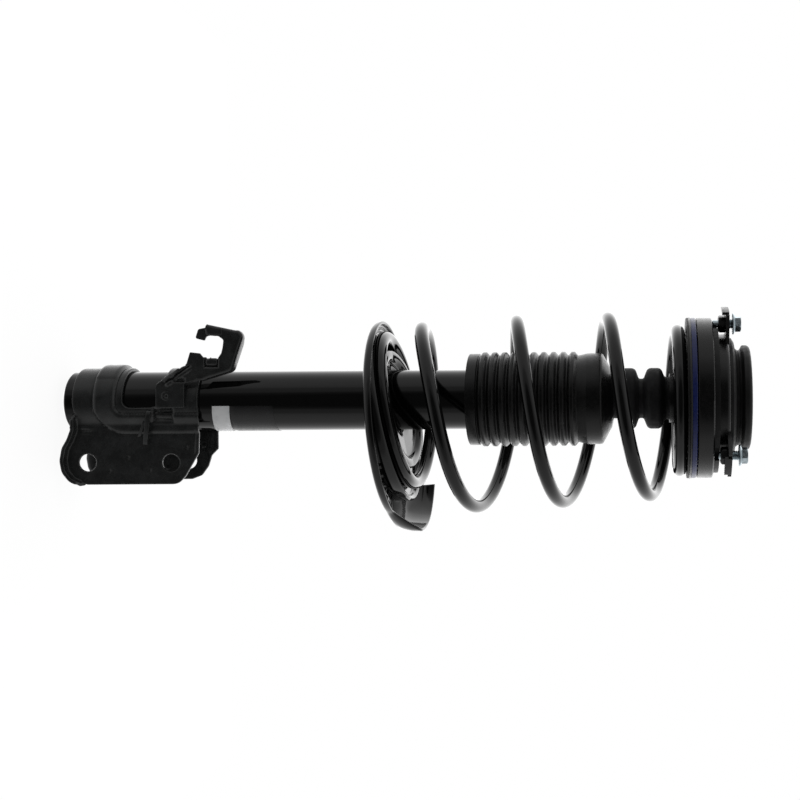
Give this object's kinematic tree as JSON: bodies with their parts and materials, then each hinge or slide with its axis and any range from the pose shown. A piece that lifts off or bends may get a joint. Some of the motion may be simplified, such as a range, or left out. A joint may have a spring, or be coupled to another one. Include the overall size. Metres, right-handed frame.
{
  "type": "strut assembly",
  "caption": "Complete suspension strut with coil spring, bearing top mount, bellows boot, spring seats and a two-ear knuckle bracket.",
  "frame": {"origin": "centre of the circle of tower bolts, on the upper face of the mounting plate's lugs", "axes": "+Z along the rod towards the car body, +X towards the knuckle, so that both knuckle bolts run along Y"},
  "size_m": [0.1897, 0.1759, 0.5826],
  "materials": {
    "tube_paint": "gloss black paint",
    "spring_paint": "gloss black powder coat",
    "bracket_coat": "semi-gloss black electro-coat",
    "plate_coat": "satin black electro-coat",
    "mount_rubber": "matte black moulded rubber",
    "boot_rubber": "matte black moulded rubber",
    "bumper_foam": "matte black microcellular foam",
    "seal_rubber": "black seal rubber",
    "housing_plastic": "matte black moulded plastic",
    "seal_blue": "satin blue plastic",
    "zinc": "bright zinc plate",
    "plain_steel": "machined steel",
    "rod_chrome": "hard chrome, ground",
    "sintered": "sintered iron",
    "ptfe": "filled PTFE and nylon",
    "label": "printed film, blank"
  },
  "bodies": {
    "top_mount": {"mount_plate": "plate_coat", "dished_neck": "mount_rubber", "top_pad": "mount_rubber", "flange_bolts": "zinc", "weld_nuts": "zinc", "mount_core": "plain_steel", "mount_rubber": "mount_rubber", "rod_nut": "zinc", "bearing_housing": "housing_plastic", "upper_race": "plain_steel", "piston_rod": "rod_chrome", "bumper_cup": "plate_coat", "jounce_bumper": "bumper_foam", "dust_boot": "boot_rubber", "piston": "sintered", "piston_ring": "ptfe", "piston_nut": "plain_steel", "rebound_stop": "plain_steel"},
    "spring_group": {"upper_spring_seat": "plate_coat", "seal_ring": "seal_blue", "lower_race": "plain_steel", "bearing_balls": "rod_chrome", "ball_cage": "ptfe", "upper_isolator": "mount_rubber", "coil_spring": "spring_paint"},
    "strut": {"strut_tube": "tube_paint", "base_cap": "tube_paint", "knuckle_bracket": "bracket_coat", "hose_bracket": "bracket_coat", "wire_clip": "bracket_coat", "lower_spring_seat": "tube_paint", "strut_label": "label", "pressure_tube": "plain_steel", "base_valve": "sintered", "rod_guide": "sintered", "guide_bush": "ptfe", "rod_seal": "seal_rubber", "tube_cap": "tube_paint"}
  },
  "joints": [
    {"name": "steer", "type": "hinge", "parent": "top_mount", "child": "spring_group", "pos_m": [0, 0, -0.02745], "axis": [0, 0, 1], "range_deg": [-38, 38]},
    {"name": "jounce", "type": "slide", "parent": "spring_group", "child": "strut", "axis": [0, 0, 1], "range_m": [0, 0.12], "stiffness_N_per_m": 24000, "springref_m": -0.09, "deforming": ["coil_spring", "dust_boot", "jounce_bumper"]}
  ]
}
